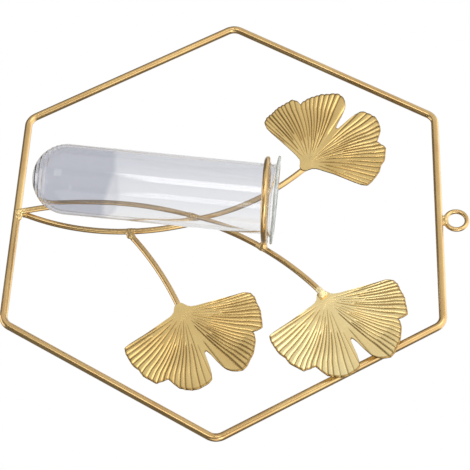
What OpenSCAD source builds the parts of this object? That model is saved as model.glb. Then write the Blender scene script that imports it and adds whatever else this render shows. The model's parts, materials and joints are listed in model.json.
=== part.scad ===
// Hanging wall vase: a hexagon of bent rod that hangs flat on a wall, with two crossing wire stems and a
// branch inside it, three pleated ginkgo leaves, and a glass test tube standing in a small wire ring.
// The hexagon lies in the XZ plane with its back to the wall at +Y, and +Z is up.
// The origin is the centre of the hanging loop.

/* [Frame] */
// Length of each side of the hexagon, between the corners of the rod's centre line
frame_side = 124; // [112:1:136]
// Diameter of the frame's rod
frame_rod_d = 4; // [3.4:0.1:4.8]
// Bend radius of the frame's corners, at the rod's centre line
corner_bend_r = 7; // [5:0.5:12]

/* [Hanging loop] */
// Diameter of the hole in the hanging loop
loop_hole_d = 8.3; // [6:0.1:12]
// Diameter of the hanging loop's wire
loop_wire_d = 2.4; // [1.8:0.1:3.2]
// Distance of the hanging loop to the right of the top side's middle
loop_shift = 2.6; // [-6:0.1:6]

/* [Stems] */
// Diameter of the wire of the stems
stem_d = 3; // [2.6:0.1:3.4]
// How far the left stem bows to the right of the line between its ends
left_stem_bow = 24.4; // [22:0.1:26]
// How far the right stem bows to the left of the line between its ends
right_stem_bow = 22.9; // [21:0.1:25]
// How far the branch bows to the left of the line between its ends
branch_bow = 2.1; // [1:0.1:6]
// How many degrees the stems and all they carry lean forward from the frame's foot, off the wall
bouquet_lean = 1.6; // [1.5:0.1:3]

/* [Holder ring] */
// Diameter of the holder ring's wire
ring_wire_d = 3; // [2.6:0.1:3.2]
// How far the tube could still move in the ring to each side, past its gap
ring_play = 0.95; // [0.65:0.05:2]
// Height of the ring's centre above the middle of the hexagon
ring_height = 21.9; // [18:0.1:26]
// How many degrees the ring dips to the right
ring_side_lean = 2.2; // [0:0.1:4]
// How many degrees the ring dips towards the back of the stems
ring_back_lean = 3.1; // [2:0.1:4]

/* [Glass tube] */
// Outer diameter of the glass tube
tube_d = 35.1; // [33:0.1:35.5]
// Thickness of the glass
tube_wall = 1.4; // [0.9:0.1:1.8]
// Length of the glass tube from its lip to its round bottom
tube_length = 121.8; // [100:0.1:130]
// How far the lip reaches out past the tube's wall
lip_reach = 4.65; // [4.15:0.05:5.45]
// Radius of the bend under the lip
lip_bend_r = 2.6; // [1.8:0.1:3]
// How many degrees the tube leans to the right at its mouth
tube_side_lean = 4.1; // [2:0.1:6]
// Gap between the glass and the wires that carry it
tube_gap = 0.3; // [0.2:0.05:0.5]

/* [Leaves] */
// Distance from a leaf's root to the farthest point of its edge
leaf_r = 45; // [40:0.5:46]
// Thickness of the leaf's sheet metal
leaf_sheet = 0.6; // [0.4:0.1:0.8]
// Height of a leaf's pleats
leaf_pleat_h = 0.7; // [0.3:0.1:0.9]
// How far the leaf's edge curls forward of its root
leaf_curl = 1.2; // [0:0.1:3]
// Number of pleats on each half of a leaf
leaf_pleats = 15; // [12:1:16]

/* [Hidden] */

// Smoothness of the round forms
round_fn = 64;
sweep_fn = 160;

// Gap between metal pieces that touch where they are welded, and diameters of the cuts that leave it
touch_gap = 0.05;
rod_cut_d = frame_rod_d + 2 * touch_gap;
stem_cut_d = stem_d + 2 * touch_gap;
ring_cut_d = ring_wire_d + 2 * touch_gap;
loop_cut_d = loop_wire_d + 2 * touch_gap;
// How far cutting bodies overrun what they cut
overrun = 5;
// How much thinner the frame's straights are than its bends, and how far they reach into them
straight_thinning = 0.04;
straight_lap = 0.4;

// Frame: half the distance between opposite sides, and the bends' place and reach
frame_half = frame_side * cos(30);
corner_centre = frame_side - corner_bend_r / cos(30);
corner_reach = corner_bend_r * tan(30);

// Hanging loop: it stands on the top side
loop_r = (loop_hole_d + loop_wire_d) / 2;
loop_height = frame_half + frame_rod_d / 2 + loop_wire_d / 2 + loop_r + touch_gap;

// Stems: the left stem and the branch lie flush with the frame's back, and the right stem crosses in
// front with a film of weld metal between them
weld_film = 0.2;
back_wire_y = (frame_rod_d - stem_d) / 2;
front_wire_y = back_wire_y - stem_d - weld_film;
foot_z = -frame_half;

// Feet and tips of the stems as [x, z] shares of the frame's side
left_foot_share = -0.0298;
right_foot_share = -0.0065;
left_tip_shares = [-0.2295, 0.3315];
right_tip_shares = [0.3964, 0.3976];
branch_tip_shares = [0.4515, -0.1596];
// Height of the branch's root on the left stem
branch_root_share = -0.4;

left_foot = [left_foot_share * frame_side, foot_z];
right_foot = [right_foot_share * frame_side, foot_z];
left_tip = left_tip_shares * frame_side;
right_tip = right_tip_shares * frame_side;
branch_tip = branch_tip_shares * frame_side;

// An arc of wire is [centre, radius], worked out from its two ends and its bow
function bow_radius(span, bow) = (span * span / 4 + bow * bow) / (2 * bow);
function wire_arc(foot, tip, bow, side) =
    let (
        chord = tip - foot,
        span = norm(chord),
        r = bow_radius(span, bow),
        across = [chord.y, -chord.x] / span
    )
    [(foot + tip) / 2 - side * (r - bow) * across, r];

// Where an arc is at a height z, on the side that it bows to: 1 is right, -1 is left
function arc_x(arc, z, side) = arc[0].x + side * sqrt(arc[1] * arc[1] - pow(z - arc[0].y, 2));
function arc_angle(arc, p) = atan2(p.y - arc[0].y, p.x - arc[0].x);

// Which way an arc runs from its foot to its tip at its point p
function arc_way(arc, p, side) = side * [arc[0].y - p.y, p.x - arc[0].x] / arc[1];

left_arc = wire_arc(left_foot, left_tip, left_stem_bow, 1);
right_arc = wire_arc(right_foot, right_tip, right_stem_bow, -1);
branch_root_z = branch_root_share * frame_side;
branch_root = [arc_x(left_arc, branch_root_z, 1), branch_root_z];
branch_arc = wire_arc(branch_root, branch_tip, branch_bow, -1);

// Where the two long stems cross, the upper of the two places where their circles meet
stem_axis = right_arc[0] - left_arc[0];
stem_axis_l = norm(stem_axis);
cross_along = (stem_axis_l * stem_axis_l + pow(left_arc[1], 2) - pow(right_arc[1], 2)) / (2 * stem_axis_l);
cross_aside = sqrt(pow(left_arc[1], 2) - cross_along * cross_along);
crossing = left_arc[0] + (cross_along * stem_axis + cross_aside * [-stem_axis.y, stem_axis.x]) / stem_axis_l;

// Holder ring: its wire's centre line goes round the tube, and it stands forward of the two stems, where
// its welds bridge the gaps
tube_r = tube_d / 2;
ring_r = tube_r + tube_gap + ring_play + ring_wire_d / 2;
ring_left_stand_share = 1.25;
ring_right_stand_share = 1.55;
ring_left_stem = [arc_x(left_arc, ring_height, 1), back_wire_y];
ring_right_stem = [arc_x(right_arc, ring_height, -1), front_wire_y];
ring_wires = (stem_d + ring_wire_d) / 2;
ring_left_reach = ring_r + ring_left_stand_share * ring_wires;
ring_right_reach = ring_r + ring_right_stand_share * ring_wires;
ring_base = ring_right_stem - ring_left_stem;
ring_base_l = norm(ring_base);
ring_along = (pow(ring_base_l, 2) + pow(ring_left_reach, 2) - pow(ring_right_reach, 2)) / (2 * ring_base_l);
ring_aside = sqrt(pow(ring_left_reach, 2) - ring_along * ring_along);
ring_xy = ring_left_stem + (ring_along * ring_base + ring_aside * [ring_base.y, -ring_base.x]) / ring_base_l;
ring_centre = [ring_xy.x, ring_xy.y, ring_height];

// Glass tube: it leans on the front of the ring and, lower down, back on the right stem
tube_at_ring = [ring_centre.x, ring_centre.y - ring_play, ring_height];
tube_side_slope = tan(tube_side_lean);
tube_reach = tube_r + stem_d / 2 + tube_gap;
tube_contact_steps = 40;
tube_contact_top = ring_height - tube_d / 2;
tube_contact_drop = tube_length - tube_d;
tube_back_slope = max([
    for (i = [0 : tube_contact_steps])
        let (
            z = tube_contact_top - tube_contact_drop * i / tube_contact_steps,
            aside = arc_x(right_arc, z, -1) - tube_at_ring.x - tube_side_slope * (z - ring_height),
            room = sqrt(max(tube_reach * tube_reach - aside * aside, 0))
        )
        (tube_at_ring.y - front_wire_y + room) / (ring_height - z)
]);

// The lip stands on the ring's right bead, which is proud of the ring, on the side that the tube leans to
lip_stand = 1;
ring_lean_slopes = [tan(ring_side_lean), tan(ring_back_lean)];
lip_dip = norm([tube_side_slope, tube_back_slope] - ring_lean_slopes);
lip_r = tube_r + lip_reach - tube_wall / 2;
lip_seat = ring_wire_d / 2 + lip_stand + tube_gap + (ring_r + ring_play) * lip_dip;
tube_straight = tube_length - tube_r - lip_bend_r - tube_wall;

// Leaves: [angle, share of leaf_r] round the root, with zero along the middle of the leaf
leaf_edge_shares = [
    [-180, 0.125], [-160, 0.12], [-140, 0.1], [-118, 0.095], [-100, 0.118], [-92, 0.16], [-86, 0.255],
    [-83, 0.38], [-82.3, 0.53], [-82, 0.67], [-80.5, 0.745], [-76, 0.772], [-71, 0.79], [-64, 0.82],
    [-58, 0.826], [-53, 0.865], [-47, 0.878], [-42, 0.897], [-38, 0.856], [-34.5, 0.822], [-31, 0.862],
    [-26, 0.925], [-22, 0.948], [-18, 0.965], [-14.5, 0.97], [-10.5, 0.953], [-6, 0.93], [-3.5, 0.9],
    [-1.5, 0.8], [-0.5, 0.667], [0.8, 0.565], [3.2, 0.56], [5, 0.61], [6.3, 0.733], [8, 0.862],
    [10, 0.922], [13, 0.97], [16.5, 1], [20, 0.993], [24, 0.968], [29, 0.95], [33, 0.92], [38, 0.889],
    [42, 0.85], [44.3, 0.817], [46, 0.858], [49.5, 0.9], [54, 0.88], [58, 0.862], [63, 0.849],
    [69, 0.813], [75, 0.8], [80, 0.762], [82.5, 0.69], [83.5, 0.53], [84.5, 0.38], [87, 0.255],
    [92, 0.17], [102, 0.116], [120, 0.096], [142, 0.102], [160, 0.12], [180, 0.125]
];
// Angles of the two halves' sides, and of the lines between and behind them
leaf_left_from = -82.5;
leaf_left_to = -3;
leaf_right_from = 7.2;
leaf_right_to = 83;
leaf_cleft_angles = [-1.2, 0.8, 3.2, 5.2];
leaf_root_angles = [85.5, 90, 100, 118, 140, 162, 180, 200, 222, 244, 262, 270, 274];
// Rings of the leaf's mesh and how much of the pleats' height each has, as shares
leaf_ring_shares = [0.13, 0.3, 0.55, 0.8, 1];
leaf_pleat_shares = [0, 0.8, 1, 1, 0.85];

leaf_left_angles = [
    for (i = [0 : 2 * leaf_pleats])
        leaf_left_from + (leaf_left_to - leaf_left_from) * i / (2 * leaf_pleats)
];
leaf_right_angles = [
    for (i = [0 : 2 * leaf_pleats])
        leaf_right_from + (leaf_right_to - leaf_right_from) * i / (2 * leaf_pleats)
];
leaf_angles = concat(leaf_left_angles, leaf_cleft_angles, leaf_right_angles, leaf_root_angles);
// 1 on the crest of a pleat, 0 in a groove or where the leaf is plain
leaf_crests = concat(
    [for (i = [0 : 2 * leaf_pleats]) i % 2],
    [for (a = leaf_cleft_angles) 0],
    [for (i = [0 : 2 * leaf_pleats]) i % 2],
    [for (a = leaf_root_angles) 0]
);

// Direction of each leaf's middle in degrees from the right, and how far its root is past the stem's tip
// as a share of leaf_r
upper_left_leaf_turn = 142.8;
upper_right_leaf_turn = 27.5;
lower_right_leaf_turn = 27.2;
upper_left_leaf_lap_share = 0.029;
upper_right_leaf_lap_share = 0.071;
lower_right_leaf_lap_share = 0.058;
// Fronts of the leaves that lie before their stems, and of the one that lies behind its stem
leaf_front_y = back_wire_y - stem_d / 2 - touch_gap - leaf_sheet;
leaf_behind_y = front_wire_y + stem_d / 2 + touch_gap;

// Weld beads: radii and places
loop_bead_r = 1.9;
loop_bead_half = 2;
foot_bead_r = 3.4;
foot_bead_shift = 0.6;
crossing_bead_r = 2.4;
crossing_bead_drop = 1.6;
branch_bead_r = 2.3;
ring_left_bead_r = 2;
ring_right_bead_r = 2.3;
leaf_bead_r = 2.1;
leaf_bead_drop = 0.7;

foot_bead_x = (left_foot.x + right_foot.x) / 2 + foot_bead_shift;
foot_bead_y = frame_rod_d / 2 - foot_bead_r;
foot_bead_z = foot_z + frame_rod_d / 2;
crossing_bead_y = (back_wire_y + front_wire_y) / 2;
branch_bead_share = 0.95;
ring_left_bead_share = 0.52;
ring_right_bead_share = 0.5;
ring_right_bead_rise = ring_wire_d / 2 + lip_stand - ring_right_bead_r - ring_r * tan(ring_side_lean);

// Moves a drawing about the hexagon's middle to one about the hanging loop
module hung() {
    translate([-loop_shift, 0, -loop_height]) children();
}

// The same for what grows from the foot: it leans forward about the bottom side's rod
module leaning() {
    hung() translate([0, 0, foot_z]) rotate([bouquet_lean, 0, 0]) translate([0, 0, -foot_z]) children();
}

// Stands a drawing made in the XY plane up in the XZ plane, with its +Z towards the room
module upright() {
    rotate([90, 0, 0]) children();
}

// A stretch of bent wire in the XZ plane at depth y, between the angles a and b of its circle
module wire_bend(centre, r, a, b, d, y) {
    translate([centre.x, y, centre.y])
        upright()
            rotate([0, 0, min(a, b)])
                rotate_extrude(angle = abs(b - a), $fn = sweep_fn)
                    translate([r, 0]) circle(d = d, $fn = round_fn);
}

module left_wire(d) {
    a = arc_angle(left_arc, left_foot);
    b = arc_angle(left_arc, left_tip);
    wire_bend(left_arc[0], left_arc[1], a, b, d, back_wire_y);
}

module right_wire(d) {
    a = arc_angle(right_arc, right_foot);
    b = arc_angle(right_arc, right_tip);
    turn = a < 0 ? a + 360 : a;
    wire_bend(right_arc[0], right_arc[1], turn, b, d, front_wire_y);
}

module branch_wire(d) {
    a = arc_angle(branch_arc, branch_root);
    b = arc_angle(branch_arc, branch_tip);
    wire_bend(branch_arc[0], branch_arc[1], a, b, d, back_wire_y);
}

// The rod as it is bent: six straights, whose ends reach into the six bends
module frame_wire() {
    straight = frame_side - 2 * corner_reach + 2 * straight_lap;
    upright()
        for (i = [0 : 5]) {
            rotate([0, 0, 60 * i + 30])
                translate([frame_half, 0, 0])
                    rotate([90, 0, 0])
                        cylinder(d = frame_rod_d - straight_thinning, h = straight, center = true,
                            $fn = round_fn);
            rotate([0, 0, 60 * i])
                translate([corner_centre, 0, 0])
                    rotate([0, 0, -30])
                        rotate_extrude(angle = 60, $fn = sweep_fn)
                            translate([corner_bend_r, 0]) circle(d = frame_rod_d, $fn = round_fn);
        }
}

// The bottom side's rod alone, which cuts the stems' feet to fit it
module bottom_rod(d) {
    translate([0, 0, foot_z])
        rotate([0, 90, 0]) cylinder(d = d, h = frame_side / 2, center = true, $fn = round_fn);
}

// The top side's rod alone, which cuts the loop's weld to fit it
module top_rod(d) {
    translate([0, 0, frame_half])
        rotate([0, 90, 0]) cylinder(d = d, h = frame_side / 2, center = true, $fn = round_fn);
}

module loop_wire(d) {
    translate([loop_shift, 0, loop_height])
        upright() rotate_extrude($fn = sweep_fn) translate([loop_r, 0]) circle(d = d, $fn = round_fn);
}

module ring_wire(d) {
    translate(ring_centre)
        rotate([-ring_back_lean, ring_side_lean, 0])
            rotate_extrude($fn = sweep_fn) translate([ring_r, 0]) circle(d = d, $fn = round_fn);
}

// A weld bead that is longer than it is high, lying along X
module long_bead(r, half) {
    rotate([0, 90, 0]) cylinder(r = r, h = 2 * half, center = true, $fn = round_fn);
    for (side = [-1, 1]) translate([side * half, 0, 0]) sphere(r = r, $fn = round_fn);
}

function leaf_point(i, j) =
    let (
        a = leaf_angles[i],
        wrapped = a > 180 ? a - 360 : a,
        r = leaf_r * leaf_ring_shares[j] * lookup(wrapped, leaf_edge_shares),
        curl = leaf_curl * pow(r / leaf_r, 2),
        pleat = leaf_pleat_h * leaf_pleat_shares[j] * leaf_crests[i]
    )
    [r * cos(a), r * sin(a), curl + pleat];

// One leaf, pleated sheet metal round its root at the origin, with its front towards +Z
module leaf() {
    n = len(leaf_angles);
    rings = len(leaf_ring_shares);
    root = n * rings;
    edge = root - n;
    front = concat([for (j = [0 : rings - 1], i = [0 : n - 1]) leaf_point(i, j)], [[0, 0, 0]]);
    back = [for (p = front) p - [0, 0, leaf_sheet]];
    under = len(front);
    front_faces = concat(
        [for (i = [0 : n - 1]) [root, (i + 1) % n, i]],
        [for (j = [0 : rings - 2], i = [0 : n - 1])
            [j * n + i, j * n + (i + 1) % n, (j + 1) * n + (i + 1) % n]],
        [for (j = [0 : rings - 2], i = [0 : n - 1])
            [j * n + i, (j + 1) * n + (i + 1) % n, (j + 1) * n + i]]
    );
    back_faces = [for (f = front_faces) [under + f[0], under + f[2], under + f[1]]];
    edge_faces = concat(
        [for (i = [0 : n - 1]) [edge + i, edge + (i + 1) % n, under + edge + (i + 1) % n]],
        [for (i = [0 : n - 1]) [edge + i, under + edge + (i + 1) % n, under + edge + i]]
    );
    polyhedron(points = concat(front, back), faces = concat(front_faces, back_faces, edge_faces));
}

// The bead that joins a leaf to its stem, just short of the stem's tip
module leaf_bead(arc, tip, side, y) {
    spot = tip - leaf_bead_drop * arc_way(arc, tip, side);
    translate([spot.x, y, spot.y]) upright() sphere(r = leaf_bead_r, $fn = round_fn);
}

// A leaf on the tip of its stem: its front face there is at depth y
module leaf_on(tip, turn, lap_share, y) {
    root = tip + leaf_r * lap_share * [cos(turn), sin(turn)];
    translate([root.x, y, root.y]) upright() rotate([0, 0, turn]) leaf();
}

// Everything in front of depth y (side -1) or behind it (side 1): it keeps a bead off a leaf's sheet
module beyond(tip, y, side) {
    reach = leaf_bead_r + overrun;
    translate([tip.x, y + side * reach, tip.y]) cube(2 * reach, center = true);
}

module hexagon_frame() {
    color("goldenrod") hung() frame_wire();
}

module hanging_loop() {
    color("goldenrod") hung() loop_wire(loop_wire_d);
}

module left_stem() {
    color("goldenrod") leaning() difference() {
        left_wire(stem_d);
        bottom_rod(rod_cut_d);
    }
}

module right_stem() {
    color("goldenrod") leaning() difference() {
        right_wire(stem_d);
        bottom_rod(rod_cut_d);
    }
}

module branch_stem() {
    color("goldenrod") leaning() difference() {
        branch_wire(stem_d);
        left_wire(stem_cut_d);
    }
}

module holder_ring() {
    color("goldenrod") leaning() ring_wire(ring_wire_d);
}

// Half of the tube's section, from its round bottom at the origin to its lip
module tube_section() {
    straight_top = tube_r + tube_straight;
    intersection() {
        translate([0, tube_r]) difference() {
            circle(r = tube_r, $fn = sweep_fn);
            circle(r = tube_r - tube_wall, $fn = sweep_fn);
        }
        square(tube_r);
    }
    translate([tube_r - tube_wall, tube_r]) square([tube_wall, tube_straight]);
    intersection() {
        translate([tube_r + lip_bend_r, straight_top]) difference() {
            circle(r = lip_bend_r + tube_wall, $fn = sweep_fn);
            circle(r = lip_bend_r, $fn = sweep_fn);
        }
        translate([tube_r - tube_wall, straight_top]) square(lip_bend_r + tube_wall);
    }
    translate([tube_r + lip_bend_r, straight_top + lip_bend_r])
        square([lip_r - tube_r - lip_bend_r, tube_wall]);
    translate([lip_r, straight_top + lip_bend_r + tube_wall / 2]) circle(d = tube_wall, $fn = round_fn);
}

// The tube's length runs along +Z from its bottom; the ring's height on it is at the origin
module glass_tube() {
    up = [tube_side_slope, tube_back_slope, 1];
    color("lightblue") leaning()
        translate(tube_at_ring)
            rotate([0, acos(1 / norm(up)), atan2(up.y, up.x)])
                translate([0, 0, lip_seat + tube_wall - tube_length])
                    rotate_extrude($fn = sweep_fn) tube_section();
}

module upper_left_leaf() {
    color("gold") leaning()
        leaf_on(left_tip, upper_left_leaf_turn, upper_left_leaf_lap_share, leaf_front_y);
}

module upper_right_leaf() {
    color("gold") leaning()
        leaf_on(right_tip, upper_right_leaf_turn, upper_right_leaf_lap_share, leaf_behind_y);
}

module lower_right_leaf() {
    color("gold") leaning()
        leaf_on(branch_tip, lower_right_leaf_turn, lower_right_leaf_lap_share, leaf_front_y);
}

module loop_weld() {
    color("darkgoldenrod") hung() difference() {
        translate([loop_shift, 0, frame_half + frame_rod_d / 2]) long_bead(loop_bead_r, loop_bead_half);
        top_rod(rod_cut_d);
        loop_wire(loop_cut_d);
    }
}

module foot_weld() {
    color("darkgoldenrod") leaning() difference() {
        translate([foot_bead_x, foot_bead_y, foot_bead_z]) sphere(r = foot_bead_r, $fn = round_fn);
        bottom_rod(rod_cut_d);
        left_wire(stem_cut_d);
        right_wire(stem_cut_d);
    }
}

module crossing_weld() {
    color("darkgoldenrod") leaning() difference() {
        translate([crossing.x, crossing_bead_y, crossing.y - crossing_bead_drop])
            sphere(r = crossing_bead_r, $fn = round_fn);
        left_wire(stem_cut_d);
        right_wire(stem_cut_d);
    }
}

module branch_weld() {
    spot = branch_root + branch_bead_share * stem_d * arc_way(branch_arc, branch_root, -1);
    color("darkgoldenrod") leaning() difference() {
        translate([spot.x, back_wire_y, spot.y]) sphere(r = branch_bead_r, $fn = round_fn);
        left_wire(stem_cut_d);
        branch_wire(stem_cut_d);
    }
}

// The bead between the ring and a stem, at a share of the way from the stem to the ring's wire
module ring_bead(stem, r, share, aside, rise) {
    way = ring_xy - stem;
    reach = norm(way) - ring_r;
    spot = stem + share * reach * way / norm(way);
    translate([spot.x + aside, spot.y, ring_height + rise]) sphere(r = r, $fn = round_fn);
}

module ring_left_weld() {
    color("darkgoldenrod") leaning() difference() {
        ring_bead(ring_left_stem, ring_left_bead_r, ring_left_bead_share, 0, -ring_wire_d / 4);
        ring_wire(ring_cut_d);
        left_wire(stem_cut_d);
    }
}

module ring_right_weld() {
    color("darkgoldenrod") leaning() difference() {
        union() {
            ring_bead(ring_right_stem, ring_right_bead_r, ring_right_bead_share, 0, ring_right_bead_rise);
            ring_bead(ring_right_stem, ring_right_bead_r, ring_right_bead_share, -ring_wire_d / 3, -ring_wire_d);
        }
        ring_wire(ring_cut_d);
        right_wire(stem_cut_d);
    }
}

module upper_left_leaf_weld() {
    color("darkgoldenrod") leaning() difference() {
        leaf_bead(left_arc, left_tip, 1, back_wire_y);
        left_wire(stem_cut_d);
        beyond(left_tip, back_wire_y - stem_d / 2, -1);
    }
}

module upper_right_leaf_weld() {
    color("darkgoldenrod") leaning() difference() {
        leaf_bead(right_arc, right_tip, -1, front_wire_y);
        right_wire(stem_cut_d);
        beyond(right_tip, front_wire_y + stem_d / 2, 1);
    }
}

module lower_right_leaf_weld() {
    color("darkgoldenrod") leaning() difference() {
        leaf_bead(branch_arc, branch_tip, -1, back_wire_y);
        branch_wire(stem_cut_d);
        beyond(branch_tip, back_wire_y - stem_d / 2, -1);
    }
}

hexagon_frame();
hanging_loop();
left_stem();
right_stem();
branch_stem();
holder_ring();
glass_tube();
upper_left_leaf();
upper_right_leaf();
lower_right_leaf();
loop_weld();
foot_weld();
crossing_weld();
branch_weld();
ring_left_weld();
ring_right_weld();
upper_left_leaf_weld();
upper_right_leaf_weld();
lower_right_leaf_weld();
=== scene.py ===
"""Looks of the hanging wall vase: satin gold wire, pleated ginkgo leaves, weld beads and a glass test tube.

The object's sizes are in millimetres, in a drawing whose origin is the middle of the hexagon, as in the
part's source. at() turns a point of the drawing into metres from the centre of the hanging loop. The camera
and the floor are placed in metres, and the lights of the room in degrees.
"""

import json
import math

import bpy
import numpy as np
from mathutils import Matrix, Vector


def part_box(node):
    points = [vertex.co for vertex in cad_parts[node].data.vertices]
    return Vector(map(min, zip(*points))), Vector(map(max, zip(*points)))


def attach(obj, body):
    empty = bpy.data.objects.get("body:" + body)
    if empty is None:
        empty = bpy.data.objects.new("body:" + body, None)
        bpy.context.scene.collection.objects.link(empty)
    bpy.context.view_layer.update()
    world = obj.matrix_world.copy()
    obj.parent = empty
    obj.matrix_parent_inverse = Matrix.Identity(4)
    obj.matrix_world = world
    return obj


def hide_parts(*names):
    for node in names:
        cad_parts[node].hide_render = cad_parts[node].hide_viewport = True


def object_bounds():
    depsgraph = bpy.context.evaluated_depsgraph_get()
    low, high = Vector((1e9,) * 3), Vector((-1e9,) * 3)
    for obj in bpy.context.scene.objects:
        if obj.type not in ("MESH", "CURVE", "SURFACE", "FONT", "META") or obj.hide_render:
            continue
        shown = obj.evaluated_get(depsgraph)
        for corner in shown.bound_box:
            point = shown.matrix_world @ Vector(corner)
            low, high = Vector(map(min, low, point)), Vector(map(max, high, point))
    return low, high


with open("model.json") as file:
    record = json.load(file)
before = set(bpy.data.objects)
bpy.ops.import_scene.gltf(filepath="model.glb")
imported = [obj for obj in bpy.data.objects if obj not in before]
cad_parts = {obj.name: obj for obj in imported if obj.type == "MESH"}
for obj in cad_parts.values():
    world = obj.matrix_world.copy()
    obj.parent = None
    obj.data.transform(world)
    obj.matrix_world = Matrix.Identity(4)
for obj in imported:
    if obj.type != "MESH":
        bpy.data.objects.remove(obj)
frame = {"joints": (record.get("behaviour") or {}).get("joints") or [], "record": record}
cad_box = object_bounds()

MM = 0.001

# Sizes shared with the part's source
SIDE = 124.0
HALF = SIDE * math.cos(math.radians(30))
FOOT_Z = -HALF
ROD_R = 2.0
CORNER_R = 7.0
TOUCH_GAP = 0.05
LOOP_R = 5.35
LOOP_WIRE_R = 1.2
LOOP_SHIFT = 2.6
LOOP_Z = HALF + ROD_R + LOOP_WIRE_R + LOOP_R + TOUCH_GAP
STEM_R = 1.5
LEAN = math.radians(1.6)
BACK_Y = 0.5
FRONT_Y = -2.7
LEFT_FOOT = (-0.0298 * SIDE, FOOT_Z)
LEFT_TIP = (-0.2295 * SIDE, 0.3315 * SIDE)
RIGHT_FOOT = (-0.0065 * SIDE, FOOT_Z)
RIGHT_TIP = (0.3964 * SIDE, 0.3976 * SIDE)
BRANCH_TIP = (0.4515 * SIDE, -0.1596 * SIDE)
BRANCH_ROOT_Z = -0.4 * SIDE
LEFT_BOW, RIGHT_BOW, BRANCH_BOW = 24.4, 22.9, 2.1
RING_R = 20.3
RING_SIDE = math.radians(2.2)
RING_BACK = math.radians(3.1)
TUBE_R = 17.55
TUBE_WALL = 1.4
TUBE_L = 121.8
LIP_R = 22.2
LIP_BEND = 2.6
LEAF_R = 45.0
LEAF_SHEET = 0.6
LEAF_CURL = 1.2


def at(p, leaning=True):
    """A point of the drawing in metres from the hanging loop, leaning forward with the stems or not."""
    x, y, z = p
    if leaning:
        c, s = math.cos(LEAN), math.sin(LEAN)
        y, z = y * c - (z - FOOT_Z) * s, FOOT_Z + y * s + (z - FOOT_Z) * c
    return np.array([x - LOOP_SHIFT, y, z - LOOP_Z]) * MM


def many(points, leaning=True):
    return np.array([at(p, leaning) for p in points])


# Mesh helpers
def mesh_object(name, verts, faces, attributes=None):
    mesh = bpy.data.meshes.new(name)
    mesh.from_pydata([tuple(v) for v in verts], [], [tuple(int(i) for i in f) for f in faces])
    mesh.update()
    for key, values in (attributes or {}).items():
        layer = mesh.attributes.new(key, "FLOAT", "POINT")
        layer.data.foreach_set("value", np.asarray(values, np.float32))
    mesh.polygons.foreach_set("use_smooth", [True] * len(mesh.polygons))
    obj = bpy.data.objects.new(name, mesh)
    bpy.context.scene.collection.objects.link(obj)
    return obj


def stand_for(obj, nodename, look, body="wire_body"):
    """Makes a piece ride on a body, stand for a solid and take its finish."""
    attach(obj, body)
    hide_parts(nodename)
    obj.data.materials.append(material(look))
    return obj


# The cross product of two spans of a path, in square metres, below which it counts as straight
STRAIGHT = 1e-9
# How far in from a wire's cut end its edge is rounded, and where the points of the rounding lie
CUT_EDGE = 0.35
CUT_PLACES = np.array([0, 0.15, 0.4, 0.75, 1.0])


def sweep(path, radii, closed=False, sides=28):
    """Verts, faces and attributes of a round wire along a path in one plane."""
    path = np.asarray(path, float)
    n = len(path)
    if closed:
        tangent = np.roll(path, -1, 0) - np.roll(path, 1, 0)
    else:
        tangent = np.gradient(path, axis=0)
    tangent /= np.linalg.norm(tangent, axis=1)[:, None]
    binormal = np.cross(path[n // 3] - path[0], path[2 * n // 3] - path[0])
    if np.linalg.norm(binormal) < STRAIGHT:
        binormal = np.cross(tangent[0], (0.1, 1, 0.2))
    binormal /= np.linalg.norm(binormal)
    normal = np.cross(binormal, tangent)
    normal /= np.linalg.norm(normal, axis=1)[:, None]
    turn = np.arange(sides) * math.tau / sides
    ring = normal[:, None, :] * np.cos(turn)[None, :, None] + binormal * np.sin(turn)[None, :, None]
    verts = (path[:, None, :] + ring * radii[:, None, None]).reshape(-1, 3)
    step = np.linalg.norm(np.diff(path, axis=0), axis=1)
    along = np.concatenate([[0], np.cumsum(step)])
    attributes = {"along": np.repeat(along, sides), "turn": np.tile(turn / math.tau, n)}
    faces = []
    for i in range(n if closed else n - 1):
        j = (i + 1) % n
        for k in range(sides):
            m = (k + 1) % sides
            faces.append((i * sides + k, j * sides + k, j * sides + m, i * sides + m))
    if not closed:
        faces.append(tuple(range(sides)))
        faces.append(tuple((n - 1) * sides + k for k in reversed(range(sides))))
    return verts, faces, attributes


def wire(name, nodename, path, radius, closed=False):
    """A length of wire. The ends of an open one are cut off square, with their edges just rounded."""
    path = np.asarray(path)
    radii = np.full(len(path), radius * MM)
    if not closed:
        along = np.concatenate([[0], np.cumsum(np.linalg.norm(np.diff(path, axis=0), axis=1))])
        near = np.clip(np.minimum(along, along[-1] - along) / (CUT_EDGE * MM), 0, 1)
        radii -= CUT_EDGE * MM * (1 - np.sqrt(1 - (1 - near) ** 2))
    obj = mesh_object(name, *sweep(path, radii, closed))
    if not closed:
        for end in obj.data.polygons[-2:]:
            end.use_smooth = False
    return stand_for(obj, nodename, "gold_wire")


def arc(foot, tip, bow, side):
    """Centre and radius of a wire that bows to the right (side 1) or left (side -1) between its ends."""
    foot, tip = np.array(foot), np.array(tip)
    chord = tip - foot
    span = np.linalg.norm(chord)
    r = (span * span / 4 + bow * bow) / (2 * bow)
    across = np.array([chord[1], -chord[0]]) / span
    return (foot + tip) / 2 - side * (r - bow) * across, r


def arc_angle(centre, p):
    return math.atan2(p[1] - centre[1], p[0] - centre[0])


def ends_spaced(a, b, count, r):
    """Angles from a to b, closer together at both ends, where the wire's cut edge is rounded."""
    edge = CUT_EDGE / r * CUT_PLACES
    sign = 1 if b > a else -1
    inner = np.linspace(a + sign * edge[-1], b - sign * edge[-1], count)
    return np.concatenate([a + sign * edge[:-1], inner, b - sign * edge[:-1][::-1]])


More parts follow.
